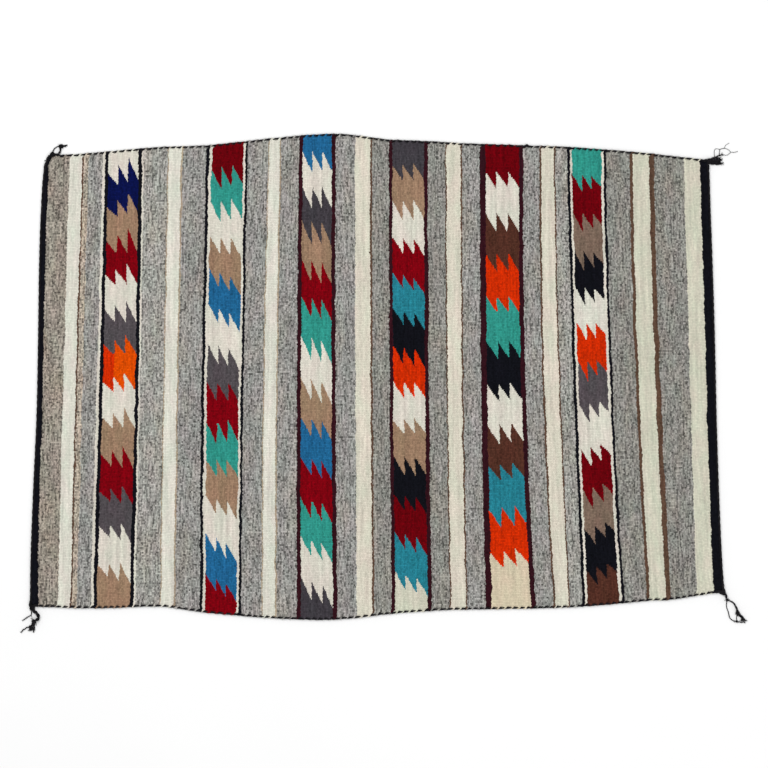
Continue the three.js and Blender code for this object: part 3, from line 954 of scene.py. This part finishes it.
class Graph:
    """A material's nodes, with short calls that take sockets or numbers."""

    def __init__(self, name):
        self.material = bpy.data.materials.new(name)
        self.material.use_nodes = True
        self.tree = self.material.node_tree
        self.shader = self.tree.nodes["Principled BSDF"]

    def put(self, socket, value):
        """Links a socket, or sets a value, to which a colour's alpha is added."""
        if isinstance(value, bpy.types.NodeSocket):
            self.tree.links.new(value, socket)
        elif isinstance(value, tuple) and len(value) == 3 and socket.type == "RGBA":
            socket.default_value = (*value, 1)
        else:
            socket.default_value = value

    def node(self, kind, values=(), **settings):
        """A new node with its inputs by index or name."""
        node = self.tree.nodes.new(kind)
        for key, value in settings.items():
            setattr(node, key, value)
        for index, value in values:
            self.put(node.inputs[index], value)
        return node

    def scaled(self, value, factor, start):
        """A value times a factor, added to a start."""
        return self.math("MULTIPLY_ADD", value, factor, start)

    def math(self, operation, *values):
        return self.node("ShaderNodeMath", enumerate(values), operation=operation).outputs[0]

    def mix(self, factor, a, b):
        node = self.node("ShaderNodeMix", ((0, factor), (6, a), (7, b)), data_type="RGBA")
        return node.outputs[2]

    def tint(self, colour, value):
        """A colour multiplied by a number."""
        node = self.node("ShaderNodeVectorMath", ((0, colour), (3, value)), operation="SCALE")
        return node.outputs[0]

    def filter(self, colour, other):
        """A colour multiplied by another."""
        node = self.node("ShaderNodeVectorMath", ((0, colour), (1, other)), operation="MULTIPLY")
        return node.outputs[0]

    def stray(self, value, noise, amount):
        """A value with this much of a noise, which lies about a half, added or taken away."""
        return self.scaled(self.math("SUBTRACT", noise, 0.5), amount, value)

    def noise(self, vector, scale=1.0, detail=2.0, roughness=0.5):
        node = self.node(
            "ShaderNodeTexNoise",
            ((0, vector), ("Scale", scale), ("Detail", detail), ("Roughness", roughness)),
        )
        return node.outputs[0]

    def speck(self, vector):
        return self.node("ShaderNodeTexWhiteNoise", ((0, vector),)).outputs[0]

    def spot(self, x, y, z=0.0):
        return self.node("ShaderNodeCombineXYZ", ((0, x), (1, y), (2, z))).outputs[0]

    def span(self, value, low, high, to_low, to_high):
        """A value between low and high, brought to between two others."""
        values = ((0, value), (1, low), (2, high), (3, to_low), (4, to_high))
        return self.node("ShaderNodeMapRange", values).outputs[0]

    def finish(self, colour, roughness, sheen, height, distance, strength=1.0):
        """Sets the shader, with the height as bump over a distance in metres."""
        self.put(self.shader.inputs["Base Color"], colour)
        self.shader.inputs["Roughness"].default_value = roughness
        self.shader.inputs["Sheen Weight"].default_value = sheen
        self.shader.inputs["Sheen Roughness"].default_value = SHEEN_ROUGHNESS
        self.shader.inputs["Specular IOR Level"].default_value = SPECULAR
        values = (("Height", height), ("Distance", distance), ("Strength", strength))
        bump = self.node("ShaderNodeBump", values)
        self.tree.links.new(bump.outputs[0], self.shader.inputs["Normal"])
        return self.material


def yarn(name):
    """A yarn's own colour."""
    return tuple(value * EXPOSURE for value in linear(YARN[name]))


class Weave(Graph):
    """The web's material: where each bead of yarn is, and noise that is even over each bead."""

    def __init__(self):
        super().__init__("woven_wool")
        uv = self.node("ShaderNodeUVMap", uv_map="weave").outputs[0]
        parts = self.node("ShaderNodeSeparateXYZ", ((0, uv),)).outputs
        self.u = self.math("MULTIPLY", parts[0], 1 / MM)
        self.v = parts[1]
        v_in = INSET / MEAN_HEIGHT
        ribs = WARPS / (1 - 2 * v_in)
        warp = self.scaled(self.v, ribs, 0.5 - v_in * ribs)
        self.warp = self.math("FLOOR", warp)
        self.warp_share = self.math("SUBTRACT", warp, self.warp)
        # The wefts over odd warps lie half a weft off. The even number keeps the sum above zero.
        odd = self.math("MODULO", self.math("ADD", self.warp, 100.0), 2.0)
        weft = self.scaled(odd, 0.5, self.math("DIVIDE", self.u, WEFT))
        weft_index = self.math("FLOOR", weft)
        self.weft_share = self.math("SUBTRACT", weft, weft_index)
        middle = self.scaled(odd, -0.5, self.math("ADD", weft_index, 0.5))
        self.bead_u = self.math("MULTIPLY", middle, WEFT)
        self.bead_v = self.scaled(self.warp, 1 / ribs, v_in)
        self.bead_y = self.math("MULTIPLY", self.bead_v, MEAN_HEIGHT)

    def patches(self, name):
        """One of the noises listed above."""
        across, down, layer, detail, roughness = PATCHES[name]
        x = self.math("DIVIDE", self.bead_u, across)
        y = self.math("DIVIDE", self.bead_y, down)
        return self.noise(self.spot(x, y, layer), 1.0, detail, roughness)


def wandered(g):
    """Where each bead counts as being across the stripes, so that their edges wander a little."""
    across = g.stray(g.bead_u, g.patches("drift"), DRIFT)
    across = g.stray(across, g.patches("ripple"), RIPPLE)
    stretch = g.math("FLOOR", g.math("DIVIDE", g.bead_u, JAG_LENGTH))
    return g.stray(across, g.speck(g.spot(stretch, g.warp, JAG_LAYER)), JAG)


def stripe_colours(g):
    """The colour of the stripe or block at each bead, and 1 where its yarn is heathered."""
    across = wandered(g)
    black_edge = g.scaled(g.span(g.v, *LEFT_BLACK_WIDE_SPAN), -LEFT_BLACK_WIDENS, across)
    black_edge = g.scaled(g.span(g.v, *LEFT_BLACK_NARROW_SPAN), LEFT_BLACK_NARROWS, black_edge)
    colour = yarn(STRIPES[0][0])
    heather = 0.0
    for (before, start), (name, end) in zip(STRIPES, STRIPES[1:]):
        past = g.math("GREATER_THAN", black_edge if start == STRIPES[0][1] else across, start)
        fill = yarn(name) if isinstance(name, str) else column_colour(g, name, start, end, across)
        colour = g.mix(past, colour, fill)
        change = (name in HEATHERED) - (before in HEATHERED)
        if change:
            heather = g.scaled(past, float(change), heather)
    return colour, heather


def column_colour(g, column, start, end, across):
    """The colour inside one serrated column, from its list of blocks and its teeth."""
    chart = COLUMN_CHARTS[column]
    names = chart["blocks"].split()
    swell, peak, period = chart["swell"]
    dice = np.random.default_rng(COLUMN_SEED + column)
    share = g.scaled(across, TEETH / (end - start), -start * TEETH / (end - start))
    tooth = g.math("MINIMUM", g.math("MAXIMUM", g.math("FLOOR", share), 0.0), TEETH - 1.0)
    place_in_tooth = g.math("SUBTRACT", share, tooth)
    # From minus a half at the first tooth to a half at the last.
    lean = g.scaled(tooth, 1 / (TEETH - 1), -0.5)
    if chart["flare"]:
        flare = g.scaled(lean, 2 * chart["flare"], 1.0)
        place_in_tooth = g.math("MULTIPLY", place_in_tooth, flare)
    below = g.math("MULTIPLY", g.bead_v, float(chart["height"]))
    colour = yarn(names[0])
    for index, name in enumerate(names[1:]):
        top = chart["first"] + chart["step"] * index + chart["growth"] * index**2
        top += dice.uniform(*BLOCK_STRAY)
        top += swell * math.cos(TURN * (index - peak) / period)
        depth = chart["depth"] * dice.uniform(*DEPTH_SHARES)
        slope = np.interp(index, (0, len(names) - 2), chart["tilt"])
        slope += chart["sway"] * math.sin(TURN * (index - SWAY_START) / SWAY_PERIOD)
        edge = g.scaled(lean, float(slope), float(top))
        edge = g.scaled(place_in_tooth, float(depth), edge)
        fill = yarn(name.split("/")[-1])
        if "/" in name:
            fill = g.mix(g.math("LESS_THAN", tooth, 0.5), fill, yarn(name.split("/")[0]))
        colour = g.mix(g.math("GREATER_THAN", below, edge), colour, fill)
    return colour


def wool_light(g, colour, heather):
    """How light each bead's wool is against its yarn's own colour."""
    # Heathered yarn is spun from light and dark wool, so it changes along each weft.
    mixed = g.stray(g.patches("streak"), g.speck(g.spot(g.bead_u, g.bead_y)), FLECK)
    mixed = g.stray(mixed, g.patches("long_streak"), LONG_STREAK)
    mixed = g.stray(mixed, g.patches("blotch"), BLOTCH)
    grey_light = g.span(mixed, *GREY_LIGHT)
    # The unevenness of dark and dyed yarn shows more than that of cream.
    tone = g.node("ShaderNodeRGBToBW", ((0, colour),)).outputs[0]
    unevenness = g.span(tone, *UNEVENNESS_BY_TONE)
    plain_light = g.scaled(g.span(mixed, *PLAIN_LIGHT), unevenness, 1.0)
    light = g.scaled(g.math("SUBTRACT", grey_light, plain_light), heather, plain_light)
    # Dye lots: broad bands of slightly different strength.
    return g.math("MULTIPLY", light, g.span(g.patches("lot"), *LOT_LIGHT))


def bead_dome(g):
    """How high each bead stands: 1 at its middle and 0 down at its edge."""
    across = g.scaled(g.weft_share, 2.0, -1.0)
    along = g.scaled(g.warp_share, 2.0, -1.0)
    return g.math(
        "MULTIPLY",
        g.math("SUBTRACT", 1.0, g.math("MULTIPLY", across, across)),
        g.math("SUBTRACT", 1.0, g.math("POWER", g.math("ABSOLUTE", along), DOME_SHAPE)),
    )


def web_material():
    """The weave: each bead of yarn takes its colour from the stripe or block that it lies in."""
    g = Weave()
    colour, heather = stripe_colours(g)
    dome = bead_dome(g)
    # Painted shade: the wool's own lightness times a factor that darkens each bead towards its edges and
    # lightens its crown a little.
    light = g.math("MULTIPLY", wool_light(g, colour, heather), g.span(dome, *DOME_PAINTED_SHADE))
    colour = g.tint(colour, light)
    # Slow changes of hue: warmer greys, and from a little green to a little pink.
    warm_share = g.math("MULTIPLY", g.span(g.patches("warmth"), *WARM_SPAN), heather)
    colour = g.mix(warm_share, colour, g.filter(colour, WARM_TINGE))
    tinge = g.mix(g.span(g.patches("hue"), *HUE_SPAN), GREEN_TINGE, PINK_TINGE)
    colour = g.filter(colour, tinge)
    fibre = g.noise(g.spot(g.math("MULTIPLY", g.u, FIBRES_ACROSS), g.math("MULTIPLY", g.v, FIBRES_DOWN)))
    height = g.scaled(fibre, FIBRE_RISE, dome)
    return g.finish(colour, roughness=0.95, sheen=0.012, height=height, distance=0.00035)


def cord_material():
    """Black plied wool: fine fibres that wind round each ply."""
    g = Graph("cord_wool")
    uv = g.node("ShaderNodeUVMap", uv_map="ply").outputs[0]
    parts = g.node("ShaderNodeSeparateXYZ", ((0, uv),)).outputs
    wind = g.scaled(parts[0], RIDGES_TO_A_METRE, g.math("MULTIPLY", parts[1], RIDGES_ROUND))
    ridge = g.math("SINE", g.math("MULTIPLY", wind, TURN))
    where = g.node("ShaderNodeTexCoord").outputs["Object"]
    fuzz = g.noise(where, scale=900.0, detail=3.0, roughness=0.6)
    tone = g.noise(where, scale=60.0)
    colour = g.mix(g.span(tone, *CORD_SPAN), CORD_DARK, CORD_LIGHT)
    height = g.scaled(fuzz, FUZZ_RISE, g.math("MULTIPLY", ridge, RIDGE_RISE))
    return g.finish(colour, roughness=0.9, sheen=0.04, height=height, distance=0.0004)


def floor_material():
    """A plain pale floor, all but even."""
    g = Graph("pale_floor")
    where = g.node("ShaderNodeTexCoord").outputs["Object"]
    colour = g.mix(g.noise(where, scale=3.0), FLOOR_DARK, FLOOR_LIGHT)
    grain = g.noise(where, scale=400.0)
    return g.finish(colour, roughness=0.9, sheen=0.0, height=grain, distance=0.0001, strength=0.2)


def area_light(name, place_at, size, power):
    """A round soft light that points at the rug and isn't seen itself."""
    data = bpy.data.lights.new(name, "AREA")
    data.shape = "DISK"
    data.size = size
    data.energy = power
    lamp = bpy.data.objects.new(name, data)
    lamp.location = place_at
    lamp.rotation_euler = (-Vector(place_at)).to_track_quat("-Z", "Y").to_euler()
    lamp.visible_camera = False
    scene.collection.objects.link(lamp)


# The pieces.
woven = web_material()
black = cord_material()

web = build_web()
web.data.materials.append(woven)
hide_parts("web")
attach(web, "root")

for edge, (node, *_) in CORDS.items():
    cord = build_cord(edge)
    cord.data.materials.append(black)
    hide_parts(node)
    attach(cord, "root")

for corner_name in TASSELS:
    tassel = build_tassel(corner_name)
    tassel.data.materials.append(black)
    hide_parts(f"tassel_{corner_name}")
    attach(tassel, "root")

# The floor, the light and the camera.
bpy.ops.mesh.primitive_plane_add(size=FLOOR_SIZE, location=(0, 0, -FLOOR_DROP))
floor = bpy.context.object
floor.name = "floor"
floor.data.materials.append(floor_material())

world = bpy.data.worlds.new("soft_white")
world.use_nodes = True
background = world.node_tree.nodes["Background"].inputs
background[0].default_value = (1, 1, 1, 1)
background[1].default_value = WORLD_LIGHT
scene.world = world
area_light("key", (-1.6, 2.0, 3.6), size=2.6, power=90)
area_light("fill", (1.8, -1.6, 3.8), size=3.0, power=60)

camera_data = bpy.data.cameras.new("camera")
camera_data.sensor_width = SENSOR
camera_data.lens = SENSOR * CAMERA_HEIGHT / PHOTO_WIDTH
camera_data.clip_end = 100
camera = bpy.data.objects.new("camera", camera_data)
camera.location = ((PHOTO_MIDDLE_X + SHIFT[0]) * MM, SHIFT[1] * MM, CAMERA_HEIGHT + THICKNESS * MM)
scene.collection.objects.link(camera)
scene.camera = camera

scene.view_settings.view_transform = "Standard"
scene.view_settings.look = "None"
